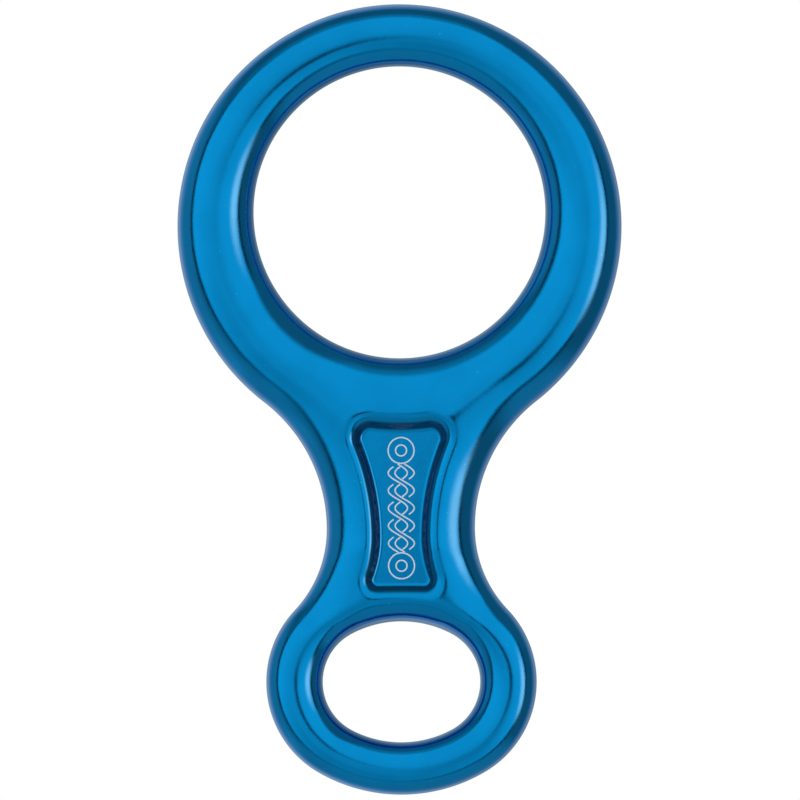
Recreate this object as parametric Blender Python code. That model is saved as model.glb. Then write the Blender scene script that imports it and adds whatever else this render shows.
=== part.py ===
"""Figure-eight rope descender: one closed-die aluminium forging, anodised blue.

Frame: +X right, +Z up towards the large rope eye, front face towards -Y. The origin is the
centre of the rope eye on the mid-plane of the forging. Lengths are metres, angles radians.

The body is a height field on both sides of its mid-plane. Its plan outline and its two eyes
are chains of tangent arcs, its thickness falls off towards every edge like a superellipse,
and a shallow hourglass pocket with a flat floor is sunk into the neck on both faces.
"""
from math import atan2, cos, pi, radians, sin, sqrt, tau

import bmesh
import bpy
from mathutils import Vector

MM = 0.001

# Large ring and rope eye
ROPE_EYE_RADIUS = 26.65 * MM
RING_RADIUS = 40.75 * MM
RING_CENTRE_Z = -2.55 * MM

# Neck, measured at its narrowest place
WAIST_Z = -57.9 * MM
WAIST_HALF_WIDTH = 13.65 * MM

# Small ring and carabiner eye, an oval of four arcs
CLIP_EYE_Z = -86.0 * MM
CLIP_EYE_HALF_WIDTH = 14.35 * MM
CLIP_EYE_HALF_HEIGHT = 11.0 * MM
CLIP_EYE_SIDE_RADIUS = 9.9 * MM
FOOT_HALF_WIDTH = 24.85 * MM
FOOT_SIDE_RADIUS = 19.25 * MM
FOOT_BOTTOM_Z = -106.75 * MM

# Thickness: half the full height, and how far in from an edge the surface keeps rising
HALF_THICKNESS = 6.5 * MM
OUTLINE_REACH = 11.4 * MM
OUTLINE_POWER = 2.0
EYE_REACH = 12.6 * MM
EYE_POWER = 1.9

# The neck's lower end, which falls only slightly until it is close to the carabiner eye
NECK_END_SHARE = 0.76
NECK_END_LENGTH = 14.0 * MM
NECK_END_REACH = 5.2 * MM
NECK_END_POWER = 2.0

# Draft of the walls beside the mid-plane, as height over distance from the edge
DRAFT_SLOPE = 3.5

# Hourglass pocket, measured at the upper edge of its wall
POCKET_TOP_Z = -39.3 * MM
POCKET_TOP_RADIUS = 37.0 * MM
POCKET_TOP_CORNER = 2.5 * MM
POCKET_BOTTOM_Z = -68.85 * MM
POCKET_BOTTOM_RADIUS = 200.0 * MM
POCKET_BOTTOM_CORNER = 1.6 * MM
POCKET_WAIST_Z = -59.4 * MM
POCKET_WAIST_HALF_WIDTH = 4.4 * MM
POCKET_UPPER_SIDE_RADIUS = 45.0 * MM
POCKET_LOWER_SIDE_RADIUS = 21.0 * MM
POCKET_FLOOR_Y = 3.85 * MM
POCKET_LIP = 2.2 * MM
POCKET_WALL = 0.2 * MM
POCKET_FOOT = 0.8 * MM

# Mesh layout: the ends of the two rings' centre lines, and the border of the neck's core
RING_END_ANGLE = radians(-60)
FOOT_END_ANGLE = radians(40)
CORE_TOP_Z = -31.6 * MM
CORE_BOTTOM_Z = -73.1 * MM
CORE_WAIST_HALF_WIDTH = 9.8 * MM

# Mesh density, in segments
RING_SEGMENTS = 54
FOOT_SEGMENTS = 26
EDGE_ROWS = 5
APRON_ROWS = 2
CORNER_HALF_SEGMENTS = 2
POCKET_TOP_HALF_SEGMENTS = 3
POCKET_BOTTOM_HALF_SEGMENTS = 2
POCKET_UPPER_SIDE_SEGMENTS = 6
POCKET_LOWER_SIDE_SEGMENTS = 3
LIP_STEPS = 3
FOOT_STEPS = 2

BISECTIONS = 40
MERGE_DISTANCE = 0.01 * MM
SMOOTH_ANGLE = radians(40)
ANODISED_BLUE = (0.0, 0.25, 0.58, 1.0)


# ---------------------------------------------------------------- arcs and outlines

def direction(vector):
    """Angle of a plan vector."""
    return atan2(vector.y, vector.x)


def polar(centre, radius, angle):
    """Plan point at a radius and an angle from a centre."""
    return centre + radius * Vector((cos(angle), sin(angle)))


class Arc:
    """A plan arc that turns anticlockwise about its centre from one angle to another."""

    def __init__(self, centre, radius, start, end):
        self.centre = Vector(centre)
        self.radius = radius
        self.start = start
        self.sweep = (end - start) % tau or tau

    def mirrored(self):
        """The same arc on the other side of the Z axis."""
        start = pi - self.start - self.sweep
        return Arc((-self.centre.x, self.centre.y), self.radius, start, start + self.sweep)

    def nearest(self, point):
        """The arc's point that is nearest to a plan point."""
        turn = (direction(point - self.centre) - self.start) % tau
        if turn > self.sweep:
            past_end = turn - self.sweep
            before_start = tau - turn
            turn = self.sweep if past_end < before_start else 0.0
        return polar(self.centre, self.radius, self.start + turn)


def nearest_on(arcs, point):
    """The nearest point of a chain of arcs."""
    return min((arc.nearest(point) for arc in arcs), key=lambda foot: (foot - point).length)


def clearance(arcs, point):
    """Distance from a plan point to a chain of arcs."""
    return (nearest_on(arcs, point) - point).length


def body_outline():
    """The outer outline: two rings joined by a waist, every joint tangent."""
    ring = Vector((0.0, RING_CENTRE_Z))
    side = Vector((FOOT_HALF_WIDTH - FOOT_SIDE_RADIUS, CLIP_EYE_Z))
    upper = waist_centre(ring, RING_RADIUS)
    lower = waist_centre(side, FOOT_SIDE_RADIUS)
    depth = CLIP_EYE_Z - FOOT_BOTTOM_Z
    bottom_radius = tangent_radius(FOOT_SIDE_RADIUS, side.x, depth)
    bottom = Vector((0.0, FOOT_BOTTOM_Z + bottom_radius))
    bottom_joint = direction(side - bottom)
    upper_joint = direction(upper - ring)
    right = [
        Arc(upper, upper.x - WAIST_HALF_WIDTH, direction(ring - upper), pi),
        Arc(lower, lower.x - WAIST_HALF_WIDTH, pi, direction(side - lower)),
        Arc(side, FOOT_SIDE_RADIUS, bottom_joint, direction(lower - side)),
    ]
    middle = [
        Arc(ring, RING_RADIUS, upper_joint, pi - upper_joint),
        Arc(bottom, bottom_radius, pi - bottom_joint, bottom_joint),
    ]
    return right + middle + [arc.mirrored() for arc in right]


def waist_centre(centre, radius):
    """Centre of the neck arc that is upright at the waist and tangent to a ring's arc."""
    across = WAIST_HALF_WIDTH - centre.x
    along = WAIST_Z - centre.y
    neck_radius = (across**2 + along**2 - radius**2) / (2 * (radius - across))
    return Vector((WAIST_HALF_WIDTH + neck_radius, WAIST_Z))


def tangent_radius(side_radius, side_x, height):
    """Radius of the flat arc that closes an oval between its two side arcs."""
    return (side_radius**2 - side_x**2 - height**2) / (2 * (side_radius - height))


def clip_eye_outline():
    """The carabiner eye, an oval of two side arcs and two flatter ones."""
    side = Vector((CLIP_EYE_HALF_WIDTH - CLIP_EYE_SIDE_RADIUS, CLIP_EYE_Z))
    flat_radius = tangent_radius(CLIP_EYE_SIDE_RADIUS, side.x, CLIP_EYE_HALF_HEIGHT)
    drop = CLIP_EYE_HALF_HEIGHT - flat_radius
    upper = Vector((0.0, CLIP_EYE_Z + drop))
    lower = Vector((0.0, CLIP_EYE_Z - drop))
    joint = direction(side - upper)
    right = Arc(side, CLIP_EYE_SIDE_RADIUS, -joint, joint)
    return [
        right,
        Arc(upper, flat_radius, joint, pi - joint),
        right.mirrored(),
        Arc(lower, flat_radius, pi + joint, -joint),
    ]


OUTLINE = body_outline()
ROPE_EYE = [Arc((0.0, 0.0), ROPE_EYE_RADIUS, 0.0, tau)]
CLIP_EYE = clip_eye_outline()


# ---------------------------------------------------------------- thickness

def rise(distance, reach, power):
    """A superellipse's quarter: 0 on the edge, where it stands upright, and 1 past the reach."""
    fall = 1.0 - min(distance / reach, 1.0)
    return (1.0 - fall**power) ** (1.0 / power)


def clip_eye_rise(point, distance):
    """Rise beside the carabiner eye, which is later and quicker on the side of the neck."""
    above = min(max((point.y - CLIP_EYE_Z) / CLIP_EYE_HALF_HEIGHT, 0.0), 1.0)**2
    fall = (1.0 - NECK_END_SHARE) * (1.0 - min(distance / NECK_END_LENGTH, 1.0))
    neck_end = (1.0 - fall) * rise(distance, NECK_END_REACH, NECK_END_POWER)
    return (1.0 - above) * rise(distance, EYE_REACH, EYE_POWER) + above * neck_end


def half_thickness(point):
    """Height of the surface over the mid-plane, before the pocket is sunk."""
    outline = clearance(OUTLINE, point)
    rope_eye = clearance(ROPE_EYE, point)
    clip_eye = clearance(CLIP_EYE, point)
    rounded = (HALF_THICKNESS * rise(outline, OUTLINE_REACH, OUTLINE_POWER)
               * rise(rope_eye, EYE_REACH, EYE_POWER) * clip_eye_rise(point, clip_eye))
    return min(rounded, DRAFT_SLOPE * min(outline, rope_eye, clip_eye))


# ---------------------------------------------------------------- pocket

def corner_centre(first, second, radius):
    """Centre of the circle that touches two others from outside, left of the way between them."""
    across = second.centre - first.centre
    first_reach = first.radius + radius
    second_reach = second.radius + radius
    along = (first_reach**2 - second_reach**2 + across.length**2) / (2 * across.length)
    aside = sqrt(first_reach**2 - along**2)
    unit = across.normalized()
    return first.centre + along * unit + aside * Vector((-unit.y, unit.x))


def pocket_half_loop():
    """Points and outward normals of the pocket's right half, from its bottom to its top."""
    waist_x = POCKET_WAIST_HALF_WIDTH
    top = Arc((0.0, POCKET_TOP_Z + POCKET_TOP_RADIUS), POCKET_TOP_RADIUS, 0.0, tau)
    bottom = Arc((0.0, POCKET_BOTTOM_Z - POCKET_BOTTOM_RADIUS), POCKET_BOTTOM_RADIUS, 0.0, tau)
    upper = Arc((waist_x + POCKET_UPPER_SIDE_RADIUS, POCKET_WAIST_Z),
                POCKET_UPPER_SIDE_RADIUS, 0.0, tau)
    lower = Arc((waist_x + POCKET_LOWER_SIDE_RADIUS, POCKET_WAIST_Z),
                POCKET_LOWER_SIDE_RADIUS, 0.0, tau)
    top_corner = corner_centre(upper, top, POCKET_TOP_CORNER)
    bottom_corner = corner_centre(bottom, lower, POCKET_BOTTOM_CORNER)
    top_joint = direction(top_corner - top.centre)
    upper_joint = direction(top_corner - upper.centre)
    lower_joint = direction(bottom_corner - lower.centre) % tau
    bottom_joint = direction(bottom_corner - bottom.centre)
    hollow, round_ = -1.0, 1.0
    corners = 2 * CORNER_HALF_SEGMENTS
    runs = [
        (bottom, pi / 2, bottom_joint, hollow, POCKET_BOTTOM_HALF_SEGMENTS),
        (Arc(bottom_corner, POCKET_BOTTOM_CORNER, 0.0, tau),
         bottom_joint - pi, lower_joint - pi, round_, corners),
        (lower, lower_joint, pi, hollow, POCKET_LOWER_SIDE_SEGMENTS),
        (upper, pi, upper_joint, hollow, POCKET_UPPER_SIDE_SEGMENTS),
        (Arc(top_corner, POCKET_TOP_CORNER, 0.0, tau),
         upper_joint - pi, top_joint + pi, round_, corners),
        (top, top_joint, -pi / 2, hollow, POCKET_TOP_HALF_SEGMENTS),
    ]
    loop = []
    for arc, start, end, facing, segments in runs:
        for step in range(segments):
            angle = start + (end - start) * step / segments
            normal = facing * Vector((cos(angle), sin(angle)))
            loop.append((polar(arc.centre, arc.radius, angle), normal))
    loop.append((Vector((0.0, POCKET_TOP_Z)), Vector((0.0, 1.0))))
    return loop


def pocket_loop():
    """The whole pocket outline, anticlockwise from the middle of its bottom right corner."""
    right = pocket_half_loop()
    left = [(Vector((-point.x, point.y)), Vector((-normal.x, normal.y)))
            for point, normal in right[-2:0:-1]]
    start = POCKET_BOTTOM_HALF_SEGMENTS + CORNER_HALF_SEGMENTS
    loop = right + left
    return loop[start:] + loop[:start]


def pocket_share(offset):
    """Share of the pocket's depth that is left at an offset outwards from its floor."""
    width = POCKET_FOOT + POCKET_WALL + POCKET_LIP
    slope = 1.0 / (POCKET_FOOT / 2 + POCKET_WALL + POCKET_LIP / 2)
    if offset < POCKET_FOOT:
        return slope * offset**2 / (2 * POCKET_FOOT)
    if offset > width - POCKET_LIP:
        return 1.0 - slope * (width - offset)**2 / (2 * POCKET_LIP)
    return slope * (offset - POCKET_FOOT / 2)


def pocket_offsets():
    """Offsets from the pocket's floor of the loops down its wall, from the lip inwards."""
    lip = [POCKET_FOOT + POCKET_WALL + POCKET_LIP * step / LIP_STEPS
           for step in range(LIP_STEPS, -1, -1)]
    foot = [POCKET_FOOT * step / FOOT_STEPS for step in range(FOOT_STEPS, -1, -1)]
    return lip + foot


# ---------------------------------------------------------------- mesh of the front half

def front_vertex(mesh, point, height):
    """A vertex of the front surface over a plan point."""
    return mesh.verts.new((point.x, -height, point.y))


def plan(vertex):
    """Plan point under a vertex."""
    return Vector((vertex.co.x, vertex.co.z))


def skin(mesh, outer, inner):
    """Quads between two closed loops of vertices, both anticlockwise."""
    for index, corner in enumerate(outer):
        following = (index + 1) % len(outer)
        mesh.faces.new((corner, outer[following], inner[following], inner[index]))


def centre_line_point(centre, angle, eye):
    """The place on a ray from an eye's centre that is midway between eye and outline."""
    near, far = 0.0, 2 * RING_RADIUS
    for _ in range(BISECTIONS):
        middle = (near + far) / 2
        point = polar(centre, middle, angle)
        if clearance(eye, point) < clearance(OUTLINE, point):
            near = middle
        else:
            far = middle
    return polar(centre, near, angle)


def centre_line(mesh, centre, start, end, eye, segments):
    """Vertices along a ring's centre line, anticlockwise."""
    points = [centre_line_point(centre, start + (end - start) * step / segments, eye)
              for step in range(segments + 1)]
    return [front_vertex(mesh, point, half_thickness(point)) for point in points]


def core_edge(mesh, start, end, bow, segments):
    """Inner vertices of a border between two vertices; bow gives the place at each share."""
    points = [bow(step / segments) for step in range(1, segments)]
    inner = [front_vertex(mesh, point, half_thickness(point)) for point in points]
    return [start] + inner + [end]


def level_bow(corner_left, corner_right, middle_z):
    """A shallow parabola between two corners of the core."""
    def place(share):
        side = 2 * share - 1
        z = middle_z + (corner_right.y - middle_z) * side**2
        return Vector((corner_left.x + (corner_right.x - corner_left.x) * share, z))
    return place


def upright_bow(start, end):
    """The core's side border, drawn in to the waist between two corners."""
    def place(share):
        z = start.y + (end.y - start.y) * share
        corner = start if (z > WAIST_Z) == (start.y > WAIST_Z) else end
        pull = (z - WAIST_Z) / (corner.y - WAIST_Z)
        waist_x = CORE_WAIST_HALF_WIDTH if corner.x > 0 else -CORE_WAIST_HALF_WIDTH
        return Vector((waist_x + (corner.x - waist_x) * pull**2, z))
    return place


def edge_band(mesh, border, arcs, outside):
    """Rounded edge from a closed border down to the mid-plane, on the chain of arcs."""
    feet = [nearest_on(arcs, plan(vertex)) for vertex in border]
    loop = border
    for row in range(EDGE_ROWS - 1, -1, -1):
        share = 1.0 - cos(pi / 2 * row / EDGE_ROWS)
        points = [foot.lerp(plan(vertex), share) for foot, vertex in zip(feet, border)]
        heights = [half_thickness(point) if row else 0.0 for point in points]
        edge = [front_vertex(mesh, point, height) for point, height in zip(points, heights)]
        if outside:
            skin(mesh, edge, loop)
        else:
            skin(mesh, loop, edge)
        loop = edge


def sink_pocket(mesh, border):
    """Apron, lip, wall and flat floor inside the core's border."""
    outline = pocket_loop()
    inset = POCKET_FOOT + POCKET_WALL
    loop = border
    for row in range(1, APRON_ROWS):
        rim = [point + normal * POCKET_LIP for point, normal in outline]
        points = [plan(vertex).lerp(edge, row / APRON_ROWS)
                  for vertex, edge in zip(border, rim)]
        inner = [front_vertex(mesh, point, half_thickness(point)) for point in points]
        skin(mesh, loop, inner)
        loop = inner
    for offset in pocket_offsets():
        inner = []
        for edge, normal in outline:
            point = edge + normal * (offset - inset)
            depth = half_thickness(point) - POCKET_FLOOR_Y
            height = POCKET_FLOOR_Y + depth * pocket_share(offset)
            inner.append(front_vertex(mesh, point, height))
        skin(mesh, loop, inner)
        loop = inner
    mesh.faces.new(loop)


def front_half():
    """The surface on the front of the mid-plane, as one open mesh."""
    mesh = bmesh.new()
    rope_centre = Vector((0.0, 0.0))
    clip_centre = Vector((0.0, CLIP_EYE_Z))
    ring = centre_line(mesh, rope_centre, RING_END_ANGLE, pi - RING_END_ANGLE,
                       ROPE_EYE, RING_SEGMENTS)
    foot = centre_line(mesh, clip_centre, pi - FOOT_END_ANGLE, tau + FOOT_END_ANGLE,
                       CLIP_EYE, FOOT_SEGMENTS)
    top_segments = 2 * (POCKET_TOP_HALF_SEGMENTS + CORNER_HALF_SEGMENTS)
    bottom_segments = 2 * (POCKET_BOTTOM_HALF_SEGMENTS + CORNER_HALF_SEGMENTS)
    side_segments = (POCKET_UPPER_SIDE_SEGMENTS + POCKET_LOWER_SIDE_SEGMENTS
                     + 2 * CORNER_HALF_SEGMENTS)
    top = core_edge(mesh, ring[-1], ring[0],
                    level_bow(plan(ring[-1]), plan(ring[0]), CORE_TOP_Z), top_segments)
    bottom = core_edge(mesh, foot[0], foot[-1],
                       level_bow(plan(foot[0]), plan(foot[-1]), CORE_BOTTOM_Z),
                       bottom_segments)
    left = core_edge(mesh, ring[-1], foot[0],
                     upright_bow(plan(ring[-1]), plan(foot[0])), side_segments)
    right = core_edge(mesh, foot[-1], ring[0],
                      upright_bow(plan(foot[-1]), plan(ring[0])), side_segments)
    edge_band(mesh, ring[:-1] + left[:-1] + foot[:-1] + right[:-1], OUTLINE, True)
    edge_band(mesh, ring[:-1] + top[:-1], ROPE_EYE, False)
    edge_band(mesh, foot[:-1] + bottom[:0:-1], CLIP_EYE, False)
    sink_pocket(mesh, right[:-1] + top[:0:-1] + left[:-1] + bottom[:-1])
    return mesh


# ---------------------------------------------------------------- object and material

def anodised_aluminium():
    """Bright blue anodising over polished aluminium."""
    material = bpy.data.materials.new("anodised_blue")
    material.use_nodes = True
    shader = material.node_tree.nodes["Principled BSDF"]
    shader.inputs["Base Color"].default_value = ANODISED_BLUE
    shader.inputs["Metallic"].default_value = 1.0
    shader.inputs["Roughness"].default_value = 0.22
    return material


def figure_eight_body():
    """The forging: its front half, mirrored through the mid-plane."""
    mesh = bpy.data.meshes.new("figure_eight_body")
    front = front_half()
    front.to_mesh(mesh)
    front.free()
    mesh.shade_smooth()
    mesh.set_sharp_from_angle(angle=SMOOTH_ANGLE)
    mesh.materials.append(anodised_aluminium())
    body = bpy.data.objects.new("figure_eight_body", mesh)
    bpy.context.scene.collection.objects.link(body)
    mirror = body.modifiers.new("back_half", "MIRROR")
    mirror.use_axis = (False, True, False)
    mirror.merge_threshold = MERGE_DISTANCE
    return body


def clear_scene():
    """An empty scene to build in."""
    for item in list(bpy.data.objects):
        bpy.data.objects.remove(item, do_unlink=True)


clear_scene()
figure_eight_body()
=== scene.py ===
"""Figure-eight rope descender: the forging with a fine surface, its blue anodising, a small
generic mark on the front pocket's floor, a pale studio and the camera.

The forging is a height field on both sides of its mid-plane. Its plan outline and its two eyes
are chains of tangent arcs, and its thickness falls off towards every edge like a superellipse.

Frame: +X right, +Z up towards the large rope eye, front face towards -Y. The origin is the
centre of the rope eye on the mid-plane of the forging. Lengths are metres, angles radians.
"""

from math import cos, pi, radians, sqrt, tau

import bmesh
import bpy
import numpy as np
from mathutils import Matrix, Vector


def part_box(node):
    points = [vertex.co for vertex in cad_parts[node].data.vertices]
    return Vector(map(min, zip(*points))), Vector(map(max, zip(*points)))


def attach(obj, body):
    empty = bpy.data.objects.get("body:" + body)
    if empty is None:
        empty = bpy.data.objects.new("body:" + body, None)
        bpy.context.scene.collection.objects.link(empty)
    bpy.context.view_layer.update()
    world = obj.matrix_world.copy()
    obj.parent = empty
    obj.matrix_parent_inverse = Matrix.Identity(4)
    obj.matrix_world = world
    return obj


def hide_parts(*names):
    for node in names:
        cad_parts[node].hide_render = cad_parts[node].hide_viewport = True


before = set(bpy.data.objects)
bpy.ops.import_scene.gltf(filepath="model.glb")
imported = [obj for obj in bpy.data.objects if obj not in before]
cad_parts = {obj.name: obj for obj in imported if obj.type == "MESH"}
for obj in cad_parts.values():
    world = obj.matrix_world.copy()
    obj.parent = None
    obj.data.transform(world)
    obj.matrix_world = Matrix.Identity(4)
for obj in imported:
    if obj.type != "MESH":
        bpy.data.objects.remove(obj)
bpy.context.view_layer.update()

MM = 0.001
LOW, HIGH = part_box("figure_eight_body")

# Large ring and rope eye
ROPE_EYE_RADIUS = 26.65 * MM
RING_RADIUS = HIGH.x
RING_CENTRE_Z = HIGH.z - HIGH.x

# Neck, measured at its narrowest place
WAIST_Z = -57.9 * MM
WAIST_HALF_WIDTH = 13.65 * MM

# Small ring and carabiner eye, an oval of four arcs
CLIP_EYE_Z = -86.0 * MM
CLIP_EYE_HALF_WIDTH = 14.35 * MM
CLIP_EYE_HALF_HEIGHT = 11.0 * MM
CLIP_EYE_SIDE_RADIUS = 9.9 * MM
FOOT_HALF_WIDTH = 24.85 * MM
FOOT_SIDE_RADIUS = 19.25 * MM
FOOT_BOTTOM_Z = LOW.z

# Thickness: half the full height, and how far in from an edge the surface keeps rising
HALF_THICKNESS = 6.5 * MM
OUTLINE_REACH = 11.4 * MM
OUTLINE_POWER = 2.0
EYE_REACH = 12.6 * MM
EYE_POWER = 1.9

# The neck's lower end, which falls only slightly until it is close to the carabiner eye
NECK_END_SHARE = 0.76
NECK_END_LENGTH = 14.0 * MM
NECK_END_REACH = 5.2 * MM
NECK_END_POWER = 2.0

# Draft of the walls beside the mid-plane, as height over distance from the edge
DRAFT_SLOPE = 3.5

# Hourglass pocket, measured at the upper edge of its wall
POCKET_TOP_Z = -39.3 * MM
POCKET_TOP_RADIUS = 37.0 * MM
POCKET_TOP_CORNER = 2.5 * MM
POCKET_BOTTOM_Z = -68.85 * MM
POCKET_BOTTOM_RADIUS = 200.0 * MM
POCKET_BOTTOM_CORNER = 1.6 * MM
POCKET_WAIST_Z = -59.4 * MM
POCKET_WAIST_HALF_WIDTH = 4.4 * MM
POCKET_UPPER_SIDE_RADIUS = 45.0 * MM
POCKET_LOWER_SIDE_RADIUS = 21.0 * MM
POCKET_FLOOR_Y = 3.85 * MM
POCKET_LIP = 3.6 * MM
POCKET_WALL = 0.2 * MM
POCKET_FOOT = 0.8 * MM

# Groove left along the mid-plane where the flash was trimmed
TRIM_DEPTH = 0.06 * MM
TRIM_HALF_HEIGHT = 0.25 * MM

# Painted shade and dullness, as a share at each vertex: the pocket's wall by its steepness,
# and the eyes' rims by a share of their own that fades out over 1 mm below a height. The share
# darkens the blue there as painted shade, and roughens it where the polish did not reach
SHADE_AND_DULL_ATTRIBUTE = "shade_and_dullness"
RIM_SHADE_AND_DULLNESS = 0.63
RIM_HEIGHT = 3.0 * MM
RIM_FADE = 1.0 * MM

# Mesh layout: the ends of the two rings' centre lines, the border of the neck's core, and a
# narrow flat loop round the pocket's floor
RING_END_ANGLE = radians(-60)
FOOT_END_ANGLE = radians(40)
CORE_TOP_Z = -31.6 * MM
CORE_BOTTOM_Z = -73.1 * MM
CORE_WAIST_HALF_WIDTH = 9.8 * MM
FLOOR_MARGIN = 0.15 * MM

# Mesh density, in segments
RING_SEGMENTS = 300
FOOT_SEGMENTS = 150
EDGE_ROWS = 22
APRON_ROWS = 10
CORNER_HALF_SEGMENTS = 9
POCKET_TOP_HALF_SEGMENTS = 16
POCKET_BOTTOM_HALF_SEGMENTS = 12
POCKET_UPPER_SIDE_SEGMENTS = 28
POCKET_LOWER_SIDE_SEGMENTS = 14
LIP_STEPS = 12
FOOT_STEPS = 7
BISECTIONS = 36
MERGE_DISTANCE = 0.001 * MM

# Generic mark: a twisted two-strand cord with an eye at each end, drawn in thin lines
MARK_CENTRE_X = 0.1 * MM
MARK_TOP_Z = -41.1 * MM
MARK_BOTTOM_Z = -67.2 * MM
MARK_LINE_WIDTH = 0.26 * MM
MARK_STRAND_WIDTH = 1.5 * MM
MARK_SWING = 1.75 * MM
MARK_EYE_RADIUS = 2.5 * MM
MARK_TWISTS = 5
MARK_PROUD = 0.012 * MM
MARK_DEPTH = 0.02 * MM
MARK_SAMPLES = 400
MARK_EYE_SEGMENTS = 96

# Camera and floor
CAMERA_PLACE = (-0.00005, -2.75, -0.03437)
CAMERA_ROLL = radians(0.25)
CAMERA_LENS = 675.5
CAMERA_SENSOR = 36.0
FLOOR_DROP = 48.0 * MM
FLOOR_RADIUS = 1.5
FLOOR_FADE_START = 0.35
SHEET_SEGMENTS = 128

# Dark disc in front of the object, seen only in its polish: where it is, how large, how soft
DISC_PLACE = (0.064, -0.5, -0.081)
DISC_RADIUS = 0.045
DISC_SOFTNESS = 0.85
DISC_COVER = 0.86


# ---------------------------------------------------------------- arcs and outlines

def plan_vector(across, up):
    """A plan point or vector."""
    return np.array((across, up), float)


def direction(vector):
    """Angle of one plan vector, or of an array of them."""
    return np.arctan2(vector[..., 1], vector[..., 0])


def length(vector):
    """Length of one plan vector, or of an array of them."""
    return np.hypot(vector[..., 0], vector[..., 1])


def polar(centre, radius, angle):
    """Plan points at a radius and some angles from a centre."""
    return centre + radius * np.stack((np.cos(angle), np.sin(angle)), axis=-1)


class Arc:
    """A plan arc that turns anticlockwise about its centre from one angle to another."""

    def __init__(self, centre, radius, start, end):
        self.centre = np.array(centre, float)
        self.radius = radius
        self.start = start
        self.sweep = (end - start) % tau or tau

    def mirrored(self):
        """The same arc on the other side of the Z axis."""
        start = pi - self.start - self.sweep
        return Arc((-self.centre[0], self.centre[1]), self.radius, start, start + self.sweep)

    def nearest(self, points):
        """The arc's points that are nearest to some plan points."""
        turn = (direction(points - self.centre) - self.start) % tau
        end = np.where(turn - self.sweep < tau - turn, self.sweep, 0.0)
        turn = np.where(turn > self.sweep, end, turn)
        return polar(self.centre, self.radius, self.start + turn)


def nearest_on(arcs, points):
    """The nearest points of a chain of arcs."""
    feet = np.stack([arc.nearest(points) for arc in arcs])
    best = length(feet - points).argmin(axis=0)
    return np.take_along_axis(feet, best[None, ..., None], axis=0)[0]


def clearance(arcs, points):
    """Distance from plan points to a chain of arcs."""
    return length(nearest_on(arcs, points) - points)


def waist_centre(centre, radius):
    """Centre of the neck arc that is upright at the waist and tangent to a ring's arc."""
    across = WAIST_HALF_WIDTH - centre[0]
    along = WAIST_Z - centre[1]
    neck_radius = (across**2 + along**2 - radius**2) / (2 * (radius - across))
    return plan_vector(WAIST_HALF_WIDTH + neck_radius, WAIST_Z)


def tangent_radius(side_radius, side_x, height):
    """Radius of the flat arc that closes an oval between its two side arcs."""
    return (side_radius**2 - side_x**2 - height**2) / (2 * (side_radius - height))


def body_outline():
    """The outer outline: two rings joined by a waist, every joint tangent."""
    ring = plan_vector(0.0, RING_CENTRE_Z)
    side = plan_vector(FOOT_HALF_WIDTH - FOOT_SIDE_RADIUS, CLIP_EYE_Z)
    upper = waist_centre(ring, RING_RADIUS)
    lower = waist_centre(side, FOOT_SIDE_RADIUS)
    bottom_radius = tangent_radius(FOOT_SIDE_RADIUS, side[0], CLIP_EYE_Z - FOOT_BOTTOM_Z)
    bottom = plan_vector(0.0, FOOT_BOTTOM_Z + bottom_radius)
    bottom_joint = direction(side - bottom)
    upper_joint = direction(upper - ring)
    right = [
        Arc(upper, upper[0] - WAIST_HALF_WIDTH, direction(ring - upper), pi),
        Arc(lower, lower[0] - WAIST_HALF_WIDTH, pi, direction(side - lower)),
        Arc(side, FOOT_SIDE_RADIUS, bottom_joint, direction(lower - side)),
    ]
    middle = [
        Arc(ring, RING_RADIUS, upper_joint, pi - upper_joint),
        Arc(bottom, bottom_radius, pi - bottom_joint, bottom_joint),
    ]
    return right + middle + [arc.mirrored() for arc in right]


def clip_eye_outline():
    """The carabiner eye, an oval of two side arcs and two flatter ones."""
    side = plan_vector(CLIP_EYE_HALF_WIDTH - CLIP_EYE_SIDE_RADIUS, CLIP_EYE_Z)
    flat_radius = tangent_radius(CLIP_EYE_SIDE_RADIUS, side[0], CLIP_EYE_HALF_HEIGHT)
    drop = CLIP_EYE_HALF_HEIGHT - flat_radius
    upper = plan_vector(0.0, CLIP_EYE_Z + drop)
    lower = plan_vector(0.0, CLIP_EYE_Z - drop)
    joint = direction(side - upper)
    right = Arc(side, CLIP_EYE_SIDE_RADIUS, -joint, joint)
    return [
        right,
        Arc(upper, flat_radius, joint, pi - joint),
        right.mirrored(),
        Arc(lower, flat_radius, pi + joint, -joint),
    ]


OUTLINE = body_outline()
ROPE_EYE = [Arc((0.0, 0.0), ROPE_EYE_RADIUS, 0.0, tau)]
CLIP_EYE = clip_eye_outline()


# ---------------------------------------------------------------- thickness

def rise(distance, reach, power):
    """A superellipse's quarter: 0 on the edge, where it stands upright, and 1 past the reach."""
    fall = 1.0 - np.minimum(distance / reach, 1.0)
    return (1.0 - fall**power) ** (1.0 / power)


def clip_eye_rise(points, distance):
    """Rise beside the carabiner eye, which is later and quicker on the side of the neck."""
    above = np.clip((points[..., 1] - CLIP_EYE_Z) / CLIP_EYE_HALF_HEIGHT, 0.0, 1.0)**2
    fall = (1.0 - NECK_END_SHARE) * (1.0 - np.minimum(distance / NECK_END_LENGTH, 1.0))
    neck_end = (1.0 - fall) * rise(distance, NECK_END_REACH, NECK_END_POWER)
    return (1.0 - above) * rise(distance, EYE_REACH, EYE_POWER) + above * neck_end


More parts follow.
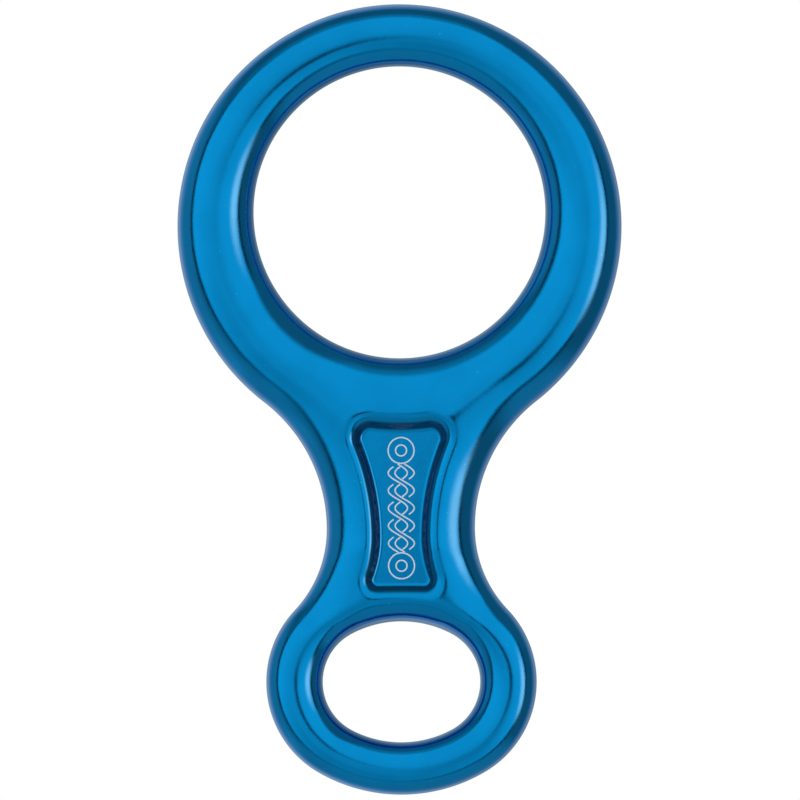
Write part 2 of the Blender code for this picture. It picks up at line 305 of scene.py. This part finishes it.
def half_thickness(points):
    """Height of the surface over the mid-plane, before the pocket is sunk."""
    outline = clearance(OUTLINE, points)
    rope_eye = clearance(ROPE_EYE, points)
    clip_eye = clearance(CLIP_EYE, points)
    rounded = (HALF_THICKNESS * rise(outline, OUTLINE_REACH, OUTLINE_POWER)
               * rise(rope_eye, EYE_REACH, EYE_POWER) * clip_eye_rise(points, clip_eye))
    nearest_edge = np.minimum(outline, np.minimum(rope_eye, clip_eye))
    return np.minimum(rounded, DRAFT_SLOPE * nearest_edge)


# ---------------------------------------------------------------- pocket

def corner_centre(first, second, radius):
    """Centre of the circle that touches two others from outside, left of the way between them."""
    across = second.centre - first.centre
    span = length(across)
    first_reach = first.radius + radius
    second_reach = second.radius + radius
    along = (first_reach**2 - second_reach**2 + span**2) / (2 * span)
    aside = sqrt(first_reach**2 - along**2)
    unit = across / span
    return first.centre + along * unit + aside * plan_vector(-unit[1], unit[0])


def pocket_half_loop():
    """Points and outward normals of the pocket's right half, from its bottom to its top."""
    waist_x = POCKET_WAIST_HALF_WIDTH
    top = Arc((0.0, POCKET_TOP_Z + POCKET_TOP_RADIUS), POCKET_TOP_RADIUS, 0.0, tau)
    bottom = Arc((0.0, POCKET_BOTTOM_Z - POCKET_BOTTOM_RADIUS), POCKET_BOTTOM_RADIUS, 0.0, tau)
    upper = Arc((waist_x + POCKET_UPPER_SIDE_RADIUS, POCKET_WAIST_Z),
                POCKET_UPPER_SIDE_RADIUS, 0.0, tau)
    lower = Arc((waist_x + POCKET_LOWER_SIDE_RADIUS, POCKET_WAIST_Z),
                POCKET_LOWER_SIDE_RADIUS, 0.0, tau)
    top_corner = corner_centre(upper, top, POCKET_TOP_CORNER)
    bottom_corner = corner_centre(bottom, lower, POCKET_BOTTOM_CORNER)
    top_joint = direction(top_corner - top.centre)
    upper_joint = direction(top_corner - upper.centre)
    lower_joint = direction(bottom_corner - lower.centre) % tau
    bottom_joint = direction(bottom_corner - bottom.centre)
    hollow, round_ = -1.0, 1.0
    corners = 2 * CORNER_HALF_SEGMENTS
    runs = [
        (bottom, pi / 2, bottom_joint, hollow, POCKET_BOTTOM_HALF_SEGMENTS),
        (Arc(bottom_corner, POCKET_BOTTOM_CORNER, 0.0, tau),
         bottom_joint - pi, lower_joint - pi, round_, corners),
        (lower, lower_joint, pi, hollow, POCKET_LOWER_SIDE_SEGMENTS),
        (upper, pi, upper_joint, hollow, POCKET_UPPER_SIDE_SEGMENTS),
        (Arc(top_corner, POCKET_TOP_CORNER, 0.0, tau),
         upper_joint - pi, top_joint + pi, round_, corners),
        (top, top_joint, -pi / 2, hollow, POCKET_TOP_HALF_SEGMENTS),
    ]
    points = []
    normals = []
    for arc, start, end, facing, segments in runs:
        angles = start + (end - start) * np.arange(segments) / segments
        points.append(polar(arc.centre, arc.radius, angles))
        normals.append(facing * polar(plan_vector(0.0, 0.0), 1.0, angles))
    points.append(np.array([(0.0, POCKET_TOP_Z)]))
    normals.append(np.array([(0.0, 1.0)]))
    return np.concatenate(points), np.concatenate(normals)


def pocket_loop():
    """The whole pocket outline, anticlockwise from the middle of its bottom right corner."""
    start = POCKET_BOTTOM_HALF_SEGMENTS + CORNER_HALF_SEGMENTS
    loops = []
    for right in pocket_half_loop():
        left = right[-2:0:-1] * plan_vector(-1.0, 1.0)
        loops.append(np.roll(np.concatenate((right, left)), -start, axis=0))
    return loops


def pocket_share(offset):
    """Share of the pocket's depth that is left at an offset outwards from its floor."""
    width = POCKET_FOOT + POCKET_WALL + POCKET_LIP
    slope = 1.0 / (POCKET_FOOT / 2 + POCKET_WALL + POCKET_LIP / 3)
    if offset < POCKET_FOOT:
        return slope * offset**2 / (2 * POCKET_FOOT)
    if offset > width - POCKET_LIP:
        return 1.0 - slope * (width - offset)**3 / (3 * POCKET_LIP**2)
    return slope * (offset - POCKET_FOOT / 2)


def wall_shade_and_dullness(offset):
    """Share of painted shade and dullness at an offset outwards from the pocket's floor, by its
    steepness.
    """
    width = POCKET_FOOT + POCKET_WALL + POCKET_LIP
    return min(offset / POCKET_FOOT, ((width - offset) / POCKET_LIP)**2, 1.0)


def pocket_offsets():
    """Offsets from the pocket's floor of the loops down its wall, from the lip inwards."""
    lip = [POCKET_FOOT + POCKET_WALL + POCKET_LIP * step / LIP_STEPS
           for step in range(LIP_STEPS, -1, -1)]
    foot = [POCKET_FOOT * step / FOOT_STEPS for step in range(FOOT_STEPS, -1, -1)]
    return lip + foot


# ---------------------------------------------------------------- mesh of the front half

class Shell:
    """The front surface: plan points, their heights and shares of painted shade and dullness, and
    the faces between them.
    """

    def __init__(self):
        self.points = np.zeros((0, 2))
        self.heights = np.zeros(0)
        self.shade_and_dullness = np.zeros(0)
        self.faces = []

    def add(self, points, heights=None, shade_and_dullness=0.0):
        """Adds a run of vertices, on the unsunk surface by default, and gives their numbers."""
        first = len(self.points)
        if heights is None:
            heights = half_thickness(points)
        self.points = np.concatenate((self.points, points))
        self.heights = np.concatenate((self.heights, heights))
        self.shade_and_dullness = np.concatenate((self.shade_and_dullness, np.zeros(len(points)) + shade_and_dullness))
        return np.arange(first, first + len(points))

    def skin(self, outer, inner):
        """Quads between two closed loops of vertices, both anticlockwise."""
        quads = np.stack((outer, np.roll(outer, -1), np.roll(inner, -1), inner), axis=1)
        self.faces.extend(quads.tolist())


def centre_line(centre, start, end, eye, segments):
    """Points midway between an eye and the outline, on rays from the eye's centre."""
    angles = np.linspace(start, end, segments + 1)
    near = np.zeros(segments + 1)
    far = np.full(segments + 1, 2 * RING_RADIUS)
    for _ in range(BISECTIONS):
        middle = (near + far) / 2
        points = polar(centre, middle[:, None], angles)
        inside = clearance(eye, points) < clearance(OUTLINE, points)
        near = np.where(inside, middle, near)
        far = np.where(inside, far, middle)
    return polar(centre, near[:, None], angles)


def inner_shares(segments):
    """Shares along a border between its two ends, without the ends."""
    return np.arange(1, segments) / segments


def level_bow(left, right, middle_z, segments):
    """A shallow parabola between two corners of the core."""
    share = inner_shares(segments)
    z = middle_z + (right[1] - middle_z) * (2 * share - 1)**2
    return np.stack((left[0] + (right[0] - left[0]) * share, z), axis=1)


def upright_bow(start, end, segments):
    """The core's side border, drawn in to the waist between two corners."""
    z = start[1] + (end[1] - start[1]) * inner_shares(segments)
    near_start = (z > WAIST_Z) == (start[1] > WAIST_Z)
    corner_x = np.where(near_start, start[0], end[0])
    corner_z = np.where(near_start, start[1], end[1])
    waist_x = np.copysign(CORE_WAIST_HALF_WIDTH, start[0])
    pull = (z - WAIST_Z) / (corner_z - WAIST_Z)
    return np.stack((waist_x + (corner_x - waist_x) * pull**2, z), axis=1)


def edge_band(shell, border, arcs, outside):
    """Rounded edge from a closed border down to the trimmed mid-plane, on the chain of arcs."""
    start = shell.points[border]
    feet = nearest_on(arcs, start)
    inward = start - feet
    inward /= length(inward)[:, None]
    loop = border
    rim_shade_and_dullness = 0.0 if outside else RIM_SHADE_AND_DULLNESS
    for row in range(EDGE_ROWS - 1, -1, -1):
        share = 1.0 - cos(pi / 2 * row / EDGE_ROWS)
        points = feet + (start - feet) * share
        heights = half_thickness(points) if row else np.zeros(len(points))
        trim = np.maximum(0.0, 1.0 - heights / TRIM_HALF_HEIGHT)
        points = points + inward * (TRIM_DEPTH * trim)[:, None]
        # The eyes' rims near the mid-plane get painted shade, with dullness, fading out upwards
        below = np.clip((RIM_HEIGHT - heights) / RIM_FADE, 0.0, 1.0)
        edge = shell.add(points, heights, rim_shade_and_dullness * below)
        if outside:
            shell.skin(edge, loop)
        else:
            shell.skin(loop, edge)
        loop = edge


def sink_pocket(shell, border):
    """Apron, lip, wall and flat floor inside the core's border."""
    edge, normal = pocket_loop()
    rim = edge + normal * POCKET_LIP
    inset = POCKET_FOOT + POCKET_WALL
    start = shell.points[border]
    loop = border
    for row in range(1, APRON_ROWS):
        inner = shell.add(start + (rim - start) * row / APRON_ROWS)
        shell.skin(loop, inner)
        loop = inner
    for offset in pocket_offsets():
        points = edge + normal * (offset - inset)
        depth = half_thickness(points) - POCKET_FLOOR_Y
        heights = POCKET_FLOOR_Y + depth * pocket_share(offset)
        # The wall's steepness sets its share of painted shade and dullness
        inner = shell.add(points, heights, wall_shade_and_dullness(offset))
        shell.skin(loop, inner)
        loop = inner
    flat = shell.add(edge - normal * (inset + FLOOR_MARGIN),
                     np.full(len(edge), POCKET_FLOOR_Y))
    shell.skin(loop, flat)
    shell.faces.append(flat.tolist())


def front_shell():
    """The surface on the front of the mid-plane."""
    shell = Shell()
    ring = shell.add(centre_line(plan_vector(0.0, 0.0), RING_END_ANGLE, pi - RING_END_ANGLE,
                                 ROPE_EYE, RING_SEGMENTS))
    foot = shell.add(centre_line(plan_vector(0.0, CLIP_EYE_Z), pi - FOOT_END_ANGLE,
                                 tau + FOOT_END_ANGLE, CLIP_EYE, FOOT_SEGMENTS))
    ring_right, ring_left = shell.points[ring[0]], shell.points[ring[-1]]
    foot_left, foot_right = shell.points[foot[0]], shell.points[foot[-1]]
    top_segments = 2 * (POCKET_TOP_HALF_SEGMENTS + CORNER_HALF_SEGMENTS)
    bottom_segments = 2 * (POCKET_BOTTOM_HALF_SEGMENTS + CORNER_HALF_SEGMENTS)
    side_segments = (POCKET_UPPER_SIDE_SEGMENTS + POCKET_LOWER_SIDE_SEGMENTS
                     + 2 * CORNER_HALF_SEGMENTS)
    top = shell.add(level_bow(ring_left, ring_right, CORE_TOP_Z, top_segments))
    bottom = shell.add(level_bow(foot_left, foot_right, CORE_BOTTOM_Z, bottom_segments))
    left = shell.add(upright_bow(ring_left, foot_left, side_segments))
    right = shell.add(upright_bow(foot_right, ring_right, side_segments))
    edge_band(shell, np.concatenate((ring, left, foot, right)), OUTLINE, True)
    edge_band(shell, np.concatenate((ring, top)), ROPE_EYE, False)
    edge_band(shell, np.concatenate((foot, bottom[::-1])), CLIP_EYE, False)
    core = (foot[-1:], right, ring[:1], top[::-1], ring[-1:], left, foot[:1], bottom)
    sink_pocket(shell, np.concatenate(core))
    return shell


# ---------------------------------------------------------------- pieces

def add_object(name, mesh, material):
    """Links a smooth mesh object with one material."""
    mesh.shade_smooth()
    mesh.materials.append(material)
    piece = bpy.data.objects.new(name, mesh)
    bpy.context.scene.collection.objects.link(piece)
    return piece


def forged_body(material):
    """The forging: its front half, mirrored through the mid-plane."""
    shell = front_shell()
    scale = HIGH.y / shell.heights.max()
    vertices = [(point[0], -height * scale, point[1])
                for point, height in zip(shell.points, shell.heights)]
    mesh = bpy.data.meshes.new("forged_body")
    mesh.from_pydata(vertices, [], shell.faces)
    shade_and_dullness = mesh.attributes.new(SHADE_AND_DULL_ATTRIBUTE, "FLOAT", "POINT")
    shade_and_dullness.data.foreach_set("value", shell.shade_and_dullness)
    body = add_object("forged_body", mesh, material)
    mirror = body.modifiers.new("back_half", "MIRROR")
    mirror.use_axis = (False, True, False)
    mirror.merge_threshold = MERGE_DISTANCE
    return body


def ribbon(mesh, points, along, looped):
    """A flat solid strip on the pocket's floor along a run of plan points."""
    along = along / length(along)[:, None]
    aside = np.stack((-along[:, 1], along[:, 0]), axis=1) * MARK_LINE_WIDTH / 2
    front = -(POCKET_FLOOR_Y + MARK_PROUD)
    back = front + MARK_DEPTH
    rows = []
    for side, y in ((aside, front), (-aside, front), (-aside, back), (aside, back)):
        rows.append([mesh.verts.new((x, y, z)) for x, z in points + side])
    if looped:
        rows = [row + row[:1] for row in rows]
    for first, second in zip(rows, rows[1:] + rows[:1]):
        for step in range(len(first) - 1):
            mesh.faces.new((first[step], first[step + 1], second[step + 1], second[step]))
    if not looped:
        mesh.faces.new([row[0] for row in rows])
        mesh.faces.new([row[-1] for row in reversed(rows)])


def runs_where(wanted):
    """Slices of the runs of more than two samples where a condition holds."""
    edges = np.flatnonzero(np.diff(np.concatenate(([0], wanted.astype(int), [0]))))
    return [slice(start, end) for start, end in zip(edges[::2], edges[1::2]) if end - start > 2]


def cord_mark(material):
    """The mark: two twisted strands between two eyes, as a generic picture of a cord."""
    mesh = bmesh.new()
    top = MARK_TOP_Z - 2 * MARK_EYE_RADIUS
    bottom = MARK_BOTTOM_Z + 2 * MARK_EYE_RADIUS
    for eye_z in (MARK_TOP_Z - MARK_EYE_RADIUS, MARK_BOTTOM_Z + MARK_EYE_RADIUS):
        centre = plan_vector(MARK_CENTRE_X, eye_z)
        for radius in (MARK_EYE_RADIUS - MARK_LINE_WIDTH / 2, MARK_EYE_RADIUS - MARK_STRAND_WIDTH):
            angles = tau * np.arange(MARK_EYE_SEGMENTS) / MARK_EYE_SEGMENTS
            along = polar(plan_vector(0.0, 0.0), 1.0, angles + pi / 2)
            ribbon(mesh, polar(centre, radius, angles), along, True)
    share = np.linspace(0.0, 1.0, MARK_SAMPLES)
    z = top + (bottom - top) * share
    turn = pi * MARK_TWISTS * share
    for phase in (0.0, pi):
        middle = MARK_SWING * np.sin(turn + phase)
        under = np.cos(turn + phase) < 0
        for side in (-1, 1):
            x = MARK_CENTRE_X + middle + side * (MARK_STRAND_WIDTH - MARK_LINE_WIDTH) / 2
            hidden = under & (np.abs(2 * middle) < MARK_STRAND_WIDTH)
            for run in runs_where(~hidden):
                strand = np.stack((x[run], z[run]), axis=1)
                ribbon(mesh, strand, np.gradient(strand, axis=0), False)
    bmesh.ops.recalc_face_normals(mesh, faces=mesh.faces)
    data = bpy.data.meshes.new("cord_mark")
    mesh.to_mesh(data)
    mesh.free()
    return add_object("cord_mark", data, material)


# ---------------------------------------------------------------- node helpers

class Graph:
    """A node tree with short calls for the nodes that the materials and the world use."""

    def __init__(self, tree):
        self.nodes = tree.nodes
        self.links = tree.links

    def put(self, socket, value):
        """Links a socket, or sets its value."""
        if isinstance(value, bpy.types.NodeSocket):
            self.links.new(value, socket)
        else:
            socket.default_value = value

    def math(self, operation, *values):
        """A math node's result."""
        node = self.nodes.new("ShaderNodeMath")
        node.operation = operation
        for socket, value in zip(node.inputs, values):
            self.put(socket, value)
        return node.outputs[0]

    def vector(self, operation, *values):
        """A vector math node, whose result is a vector or a value."""
        node = self.nodes.new("ShaderNodeVectorMath")
        node.operation = operation
        for socket, value in zip(node.inputs, values):
            self.put(socket, value)
        return node.outputs["Value" if operation == "LENGTH" else "Vector"]

    def ramp(self, value, low, high, start, end, smooth=True):
        """A value mapped from one range to another and held inside it."""
        node = self.nodes.new("ShaderNodeMapRange")
        node.interpolation_type = "SMOOTHSTEP" if smooth else "LINEAR"
        for socket, item in zip(node.inputs, (value, low, high, start, end)):
            self.put(socket, item)
        return node.outputs[0]

    def noise(self, place, size, detail):
        """Noise from 0 to 1 with grains of a size in metres."""
        node = self.nodes.new("ShaderNodeTexNoise")
        self.put(node.inputs["Vector"], place)
        self.put(node.inputs["Scale"], 1.0 / size)
        self.put(node.inputs["Detail"], detail)
        return node.outputs["Fac"]

    def blend(self, share, first, second):
        """Two values mixed by a share."""
        node = self.nodes.new("ShaderNodeMix")
        self.put(node.inputs["Factor"], share)
        self.put(node.inputs["A"], first)
        self.put(node.inputs["B"], second)
        return node.outputs["Result"]

    def colour(self, share, first, second):
        """Two colours mixed by a share."""
        node = self.nodes.new("ShaderNodeMix")
        node.data_type = "RGBA"
        first_colour, second_colour = node.inputs[6:8]
        self.put(node.inputs["Factor"], share)
        self.put(first_colour, first)
        self.put(second_colour, second)
        return node.outputs[2]

    def bump(self, height, distance, normal=None):
        """A bumped normal from a height from 0 to 1 and its full depth in metres."""
        node = self.nodes.new("ShaderNodeBump")
        self.put(node.inputs["Height"], height)
        self.put(node.inputs["Distance"], distance)
        if normal is not None:
            self.put(node.inputs["Normal"], normal)
        return node.outputs["Normal"]


def new_material(name):
    """An empty node material: its graph, its Principled shader and the place on the object."""
    material = bpy.data.materials.new(name)
    material.use_nodes = True
    graph = Graph(material.node_tree)
    place = graph.nodes.new("ShaderNodeTexCoord").outputs["Object"]
    return material, graph, graph.nodes["Principled BSDF"], place


# ---------------------------------------------------------------- materials

# Anodising: the colours of its mottling and flecks, and the dark blue of the painted shade on the
# pocket's walls and the eyes' rims
BLUE_DEEP = (0.028, 0.234, 0.585, 1.0)
BLUE_LIGHT = (0.032, 0.25, 0.62, 1.0)
BLUE_FLECK = (0.25, 0.6, 0.85, 1.0)
BLUE_PAINTED_SHADE = (0.01, 0.09, 0.24, 1.0)

# Its orange peel and grain, and the sizes of its mottling, flecks and smears
PEEL_SIZE = 2.6 * MM
PEEL_DEPTH = 0.012 * MM
GRAIN_SIZE = 0.3 * MM
GRAIN_DEPTH = 0.007 * MM
CLOUD_SIZE = 7.0 * MM
FLECK_SIZE = 0.4 * MM
SMEAR_SIZE = 1.3 * MM

# Its roughness where it is polished and where it is dull, and its clear oxide film
POLISHED_LEAST = 0.08
POLISHED_MOST = 0.12
DULL_ROUGHNESS = 0.22
OXIDE_IOR = 1.38
OXIDE_ROUGHNESS = 0.06

# Laser-marked lines: the two shades of their bleached dots
MARK_SHADE = (0.6, 0.7, 0.86, 1.0)
MARK_PALE = (0.8, 0.87, 0.97, 1.0)
MARK_DOT_SIZE = 0.12 * MM
MARK_DOT_DEPTH = 0.01 * MM

# The floor's paint and the disc's felt
FLOOR_GREY = (0.8, 0.8, 0.8, 1.0)
FLOOR_PALE = (0.84, 0.84, 0.84, 1.0)
FLOOR_CLOUD_SIZE = 0.25
FELT_DARK = (0.02, 0.03, 0.04, 1.0)
FELT_PALE = (0.04, 0.06, 0.07, 1.0)
NAP_SIZE = 3.0 * MM


def anodised_blue():
    """Tumbled and bright-dipped aluminium under blue anodising."""
    material, graph, shader, place = new_material("anodised_blue")
    peel = graph.bump(graph.noise(place, PEEL_SIZE, 1.0), PEEL_DEPTH)
    grain = graph.bump(graph.noise(place, GRAIN_SIZE, 2.0), GRAIN_DEPTH, peel)
    cloud = graph.ramp(graph.noise(place, CLOUD_SIZE, 3.0), 0.35, 0.65, 0.0, 1.0)
    mottle = graph.colour(cloud, BLUE_DEEP, BLUE_LIGHT)
    fleck = graph.ramp(graph.noise(place, FLECK_SIZE, 0.0), 0.82, 0.9, 0.0, 0.5)
    flecked = graph.colour(fleck, mottle, BLUE_FLECK)
    # Painted shade: dark blue mixed in over the pocket's walls and the eyes' rims by the vertex
    # share, which also raises their roughness
    attribute = graph.nodes.new("ShaderNodeAttribute")
    attribute.attribute_name = SHADE_AND_DULL_ATTRIBUTE
    dull_and_shaded = graph.ramp(attribute.outputs["Fac"], 0.45, 0.75, 0.0, 1.0)
    base = graph.colour(dull_and_shaded, flecked, BLUE_PAINTED_SHADE)
    smear = graph.noise(place, SMEAR_SIZE, 3.0)
    polished = graph.ramp(smear, 0.3, 0.7, POLISHED_LEAST, POLISHED_MOST, False)
    roughness = graph.blend(dull_and_shaded, polished, DULL_ROUGHNESS)
    shader.inputs["Metallic"].default_value = 1.0
    shader.inputs["Coat Weight"].default_value = 1.0
    shader.inputs["Coat IOR"].default_value = OXIDE_IOR
    shader.inputs["Coat Roughness"].default_value = OXIDE_ROUGHNESS
    graph.put(shader.inputs["Base Color"], base)
    graph.put(shader.inputs["Roughness"], roughness)
    graph.put(shader.inputs["Normal"], grain)
    graph.put(shader.inputs["Coat Normal"], grain)
    return material


def marked_oxide():
    """The bleached, matt oxide of a laser-marked line."""
    material, graph, shader, place = new_material("marked_oxide")
    dots = graph.noise(place, MARK_DOT_SIZE, 2.0)
    shade = graph.ramp(dots, 0.35, 0.65, 0.0, 1.0)
    base = graph.colour(shade, MARK_SHADE, MARK_PALE)
    shader.inputs["Specular IOR Level"].default_value = 0.3
    graph.put(shader.inputs["Base Color"], base)
    graph.put(shader.inputs["Roughness"], graph.ramp(dots, 0.3, 0.7, 0.5, 0.7, False))
    graph.put(shader.inputs["Normal"], graph.bump(dots, MARK_DOT_DEPTH))
    return material


def studio_floor_paint():
    """Pale matt paint with faint clouds, which fades into the backdrop."""
    material, graph, shader, place = new_material("studio_floor_paint")
    cloud = graph.noise(place, FLOOR_CLOUD_SIZE, 3.0)
    base = graph.colour(cloud, FLOOR_GREY, FLOOR_PALE)
    cover = graph.ramp(graph.vector("LENGTH", place), FLOOR_FADE_START, FLOOR_RADIUS, 1.0, 0.0)
    shader.inputs["Roughness"].default_value = 0.85
    graph.put(shader.inputs["Base Color"], base)
    graph.put(shader.inputs["Alpha"], cover)
    return material


def soft_black():
    """Black felt that thins out towards the border of the disc."""
    material, graph, shader, place = new_material("soft_black")
    away = graph.math("DIVIDE", graph.vector("LENGTH", place), DISC_RADIUS)
    cover = graph.ramp(away, 1.0 - DISC_SOFTNESS, 1.0 + DISC_SOFTNESS, DISC_COVER, 0.0)
    base = graph.colour(graph.noise(place, NAP_SIZE, 2.0), FELT_DARK, FELT_PALE)
    shader.inputs["Roughness"].default_value = 1.0
    shader.inputs["Specular IOR Level"].default_value = 0.0
    graph.put(shader.inputs["Base Color"], base)
    graph.put(shader.inputs["Alpha"], cover)
    return material


# ---------------------------------------------------------------- studio

# Soft panels around the object, painted one over the other on the sky as it is seen from the
# object. Each has a centre and a half size in degrees to the right and up from the direction
# of -Y, the share of its size over which it fades, its brightness and its tint.
TENT = (0.04, 1.0, 1.0)
SIDE = (0.14, 1.0, 1.0)
GLARE = (1.2, 1.0, 0.76)
BACK = (0.7, 0.96, 1.1)
WHITE = (1.0, 1.0, 1.0)
PANELS = [
    ((-95.0, -75.0), (50.0, 55.0), 0.4, 0.6, SIDE),
    ((-90.0, 10.0), (24.0, 70.0), 0.4, 0.48, SIDE),
    ((5.0, -92.0), (84.0, 58.0), 0.15, 0.46, SIDE),
    ((0.0, 7.0), (68.5, 59.0), 0.05, 0.04, TENT),
    ((0.0, 7.0), (61.5, 51.5), 0.07, 1.06, TENT),
    ((-7.0, -33.0), (32.0, 29.0), 1.0, 0.56, TENT),
    ((0.0, 36.0), (44.0, 29.0), 0.54, 0.93, TENT),
    ((0.0, 4.0), (12.0, 16.0), 0.9, 0.85, TENT),
    ((75.0, 65.0), (50.0, 39.0), 0.12, 0.26, SIDE),
    ((5.0, -11.0), (9.0, 10.0), 0.8, 0.6, TENT),
    ((52.0, -4.0), (8.0, 17.0), 0.7, 1.9, GLARE),
]

# Brightness of the sky round the panels, of the back on either side, of the patch right behind
# the object, and of the even light that matt surfaces get
SURROUND = 0.24
BACK_LEFT = 0.56
BACK_RIGHT = 0.42
BEHIND = 0.95
EVEN_LIGHT = 0.9

# Where the back and the patch begin, in degrees from -Y, and how far each fades either way; then
# how far from the middle, as the X part of a direction, the back's left turns into its right
BACK_EDGE = 104.0
BACK_FADE = 8.0
BEHIND_EDGE = 163.0
BEHIND_FADE = 6.0
BACK_TURN = 0.3


def light_colour(level, tint):
    """A light's colour from its brightness and tint."""
    return (*(level * part for part in tint), 1.0)


def paint_panel(graph, sky, below, centre, half_size, softness, colour):
    """The sky's colour with one elliptical panel painted over it."""
    offset = graph.vector("SUBTRACT", sky, (*centre, 0.0))
    scaled = graph.vector("DIVIDE", offset, (*half_size, 1.0))
    away = graph.vector("LENGTH", scaled)
    share = graph.ramp(away, 1.0 - softness, 1.0 + softness, 1.0, 0.0)
    return graph.colour(share, below, colour)


def sky_angles(graph):
    """The direction as degrees right and up from -Y, its angle from -Y, and its X part."""
    place = graph.nodes.new("ShaderNodeTexCoord").outputs["Generated"]
    separate = graph.nodes.new("ShaderNodeSeparateXYZ")
    graph.put(separate.inputs[0], place)
    across, depth, up = separate.outputs
    angle = graph.math("DEGREES", graph.math("ARCCOSINE", graph.math("MULTIPLY", depth, -1.0)))
    join = graph.nodes.new("ShaderNodeCombineXYZ")
    graph.put(join.inputs[0], across)
    graph.put(join.inputs[1], up)
    scale = graph.nodes.new("ShaderNodeVectorMath")
    scale.operation = "SCALE"
    graph.put(scale.inputs[0], graph.vector("NORMALIZE", join.outputs[0]))
    graph.put(scale.inputs["Scale"], angle)
    return scale.outputs[0], angle, across


def studio_light():
    """A tent of soft panels for the reflections, even white light, and a white backdrop."""
    world = bpy.data.worlds.new("studio")
    bpy.context.scene.world = world
    world.use_nodes = True
    graph = Graph(world.node_tree)
    sky, angle, across = sky_angles(graph)
    tent = light_colour(SURROUND, SIDE)
    for centre, half_size, softness, level, tint in PANELS:
        colour = light_colour(level, tint)
        tent = paint_panel(graph, sky, tent, centre, half_size, softness, colour)
    back_share = graph.ramp(across, -BACK_TURN, BACK_TURN, 0.0, 1.0)
    back = graph.colour(back_share, light_colour(BACK_LEFT, BACK),
                        light_colour(BACK_RIGHT, BACK))
    beside = graph.ramp(angle, BACK_EDGE - BACK_FADE, BACK_EDGE + BACK_FADE, 0.0, 1.0)
    tent = graph.colour(beside, tent, back)
    behind = graph.ramp(angle, BEHIND_EDGE - BEHIND_FADE, BEHIND_EDGE + BEHIND_FADE, 0.0, 1.0)
    tent = graph.colour(behind, tent, light_colour(BEHIND, BACK))
    rays = graph.nodes.new("ShaderNodeLightPath").outputs
    light = graph.colour(rays["Is Glossy Ray"], light_colour(EVEN_LIGHT, WHITE), tent)
    graph.put(graph.nodes["Background"].inputs["Color"],
              graph.colour(rays["Is Camera Ray"], light, light_colour(1.0, WHITE)))


def round_sheet(name, radius, material):
    """A flat round sheet in the XY plane."""
    mesh = bmesh.new()
    bmesh.ops.create_circle(mesh, cap_ends=True, segments=SHEET_SEGMENTS, radius=radius)
    data = bpy.data.meshes.new(name)
    mesh.to_mesh(data)
    mesh.free()
    return add_object(name, data, material)


def studio_floor():
    """A round pale floor, well below the object."""
    floor = round_sheet("studio_floor", FLOOR_RADIUS, studio_floor_paint())
    floor.location.z = LOW.z - FLOOR_DROP
    floor.visible_glossy = False
    return floor


def studio_disc():
    """The dark disc, upright and facing the object."""
    disc = round_sheet("studio_disc", DISC_RADIUS * (1.0 + DISC_SOFTNESS), soft_black())
    disc.location = DISC_PLACE
    disc.rotation_euler.x = pi / 2
    disc.visible_camera = False
    disc.visible_diffuse = False
    disc.visible_shadow = False
    return disc


def studio_camera():
    """A long lens straight in front of the object."""
    data = bpy.data.cameras.new("camera")
    data.lens = CAMERA_LENS
    data.sensor_width = CAMERA_SENSOR
    camera = bpy.data.objects.new("camera", data)
    camera.location = CAMERA_PLACE
    camera.rotation_euler = (pi / 2, CAMERA_ROLL, 0.0)
    bpy.context.scene.collection.objects.link(camera)
    bpy.context.scene.camera = camera


# ---------------------------------------------------------------- scene

bpy.context.scene.view_settings.view_transform = "Standard"
studio_light()
studio_camera()
studio_floor()
studio_disc()

body = forged_body(anodised_blue())
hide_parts("figure_eight_body")
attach(body, "root")

mark = cord_mark(marked_oxide())
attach(mark, "root")

bpy.context.view_layer.update()
